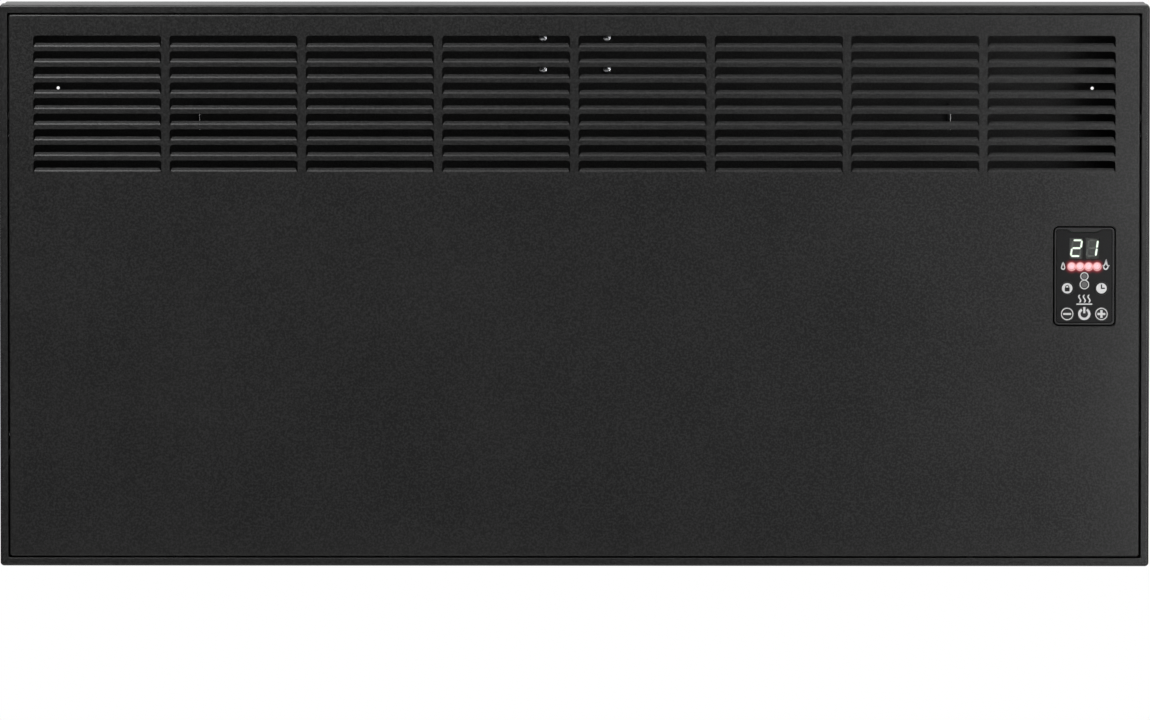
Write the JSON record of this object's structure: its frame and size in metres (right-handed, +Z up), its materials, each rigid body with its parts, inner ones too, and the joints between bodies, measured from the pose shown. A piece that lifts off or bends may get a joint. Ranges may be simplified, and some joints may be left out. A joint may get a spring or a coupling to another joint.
{
  "type": "wall panel heater",
  "caption": "Wall-hung electric panel heater: a flat louvred steel case with a small digital control, hooked on a wall rail and lifted off it.",
  "frame": {"origin": "centre of the wall bracket's four screw slots, on the wall plane", "axes": "+X along the heater's width, to the right of a person who faces it; +Y into the wall; +Z up"},
  "size_m": [0.92, 0.0984, 0.45],
  "materials": {
    "black_bracket": "black powder coat",
    "black_powder": "fine-textured black powder coat",
    "fibre": "vulcanised fibre",
    "zinc": "bright zinc plate",
    "foot_plastic": "black moulding",
    "rubber": "soft black rubber",
    "element_alloy": "extruded, bead blasted",
    "core_steel": "annealed stainless sheath",
    "brass": "plain brass",
    "silicone": "red-brown silicone",
    "bright_sheet": "bright aluminised sheet",
    "ceramic": "steatite",
    "black_plastic": "satin moulded plastic",
    "smoked_window": "smoked translucent plastic",
    "board": "green lacquered laminate",
    "lamp_block": "dark grey moulding",
    "digit_glow": "lit segments",
    "red_lamp": "lit red lamps",
    "dim_lamp": "unlit lamps",
    "switch_plastic": "black moulding",
    "relay_plastic": "blue moulding",
    "potting": "potted block and capacitor",
    "terminal_plastic": "cream moulding",
    "lead_jacket": "silicone-covered leads",
    "earth_jacket": "green and yellow jacket",
    "thin_jacket": "grey jacket",
    "key_plastic": "smoked plastic with printed icons"
  },
  "bodies": {
    "wall_bracket": {"wall_bracket": "black_bracket"},
    "heater": {"front_frame": "black_powder", "front_panel": "black_powder", "rear_case": "black_powder", "bottom_grille": "black_powder", "panel_washers": "fibre", "panel_rivets": "zinc", "case_screws": "zinc", "stiffener_plate": "black_powder", "stiffener_screws": "zinc", "wall_spacer_left": "foot_plastic", "wall_spacer_right": "foot_plastic", "cable_grommet": "rubber", "heating_element": "element_alloy", "element_core": "core_steel", "element_terminals": "brass", "element_bush_left": "silicone", "element_bush_right": "silicone", "element_bracket_left": "zinc", "element_bracket_right": "zinc", "foot_screws": "zinc", "heat_shield": "bright_sheet", "shield_spacers": "ceramic", "shield_screws": "zinc", "front_baffle": "bright_sheet", "side_partition": "bright_sheet", "cutout_bracket": "zinc", "thermal_cutout": "ceramic", "control_bezel": "black_plastic", "control_fascia": "smoked_window", "control_housing": "black_plastic", "control_pcb": "board", "control_screws": "zinc", "control_studs": "zinc", "control_nuts": "brass", "display_module": "lamp_block", "digit_segments": "digit_glow", "heat_leds": "red_lamp", "mode_leds": "dim_lamp", "tact_switches": "switch_plastic", "power_board": "board", "board_spacers": "brass", "board_screws": "zinc", "power_relay": "relay_plastic", "power_transformer": "potting", "terminal_block": "terminal_plastic", "terminal_screws": "brass", "earth_stud": "zinc", "earth_nut": "brass", "temperature_sensor": "terminal_plastic", "mains_leads": "lead_jacket", "earth_lead": "earth_jacket", "element_leads": "lead_jacket", "signal_leads": "thin_jacket"},
    "key_minus": {"key_minus": "key_plastic"},
    "key_power": {"key_power": "key_plastic"},
    "key_plus": {"key_plus": "key_plastic"},
    "key_lock": {"key_lock": "key_plastic"},
    "key_timer": {"key_timer": "key_plastic"}
  },
  "joints": [
    {"name": "lift_off", "type": "slide", "parent": "wall_bracket", "child": "heater", "axis": [0, 0, 1], "range_m": [0, 0.00575]},
    {"name": "press_minus", "type": "slide", "parent": "heater", "child": "key_minus", "axis": [0, 1, 0], "range_m": [0, 0.0004], "stiffness_N_per_m": 2000},
    {"name": "press_power", "type": "slide", "parent": "heater", "child": "key_power", "axis": [0, 1, 0], "range_m": [0, 0.0004], "stiffness_N_per_m": 2000},
    {"name": "press_plus", "type": "slide", "parent": "heater", "child": "key_plus", "axis": [0, 1, 0], "range_m": [0, 0.0004], "stiffness_N_per_m": 2000},
    {"name": "press_lock", "type": "slide", "parent": "heater", "child": "key_lock", "axis": [0, 1, 0], "range_m": [0, 0.0004], "stiffness_N_per_m": 2000},
    {"name": "press_timer", "type": "slide", "parent": "heater", "child": "key_timer", "axis": [0, 1, 0], "range_m": [0, 0.0004], "stiffness_N_per_m": 2000}
  ]
}
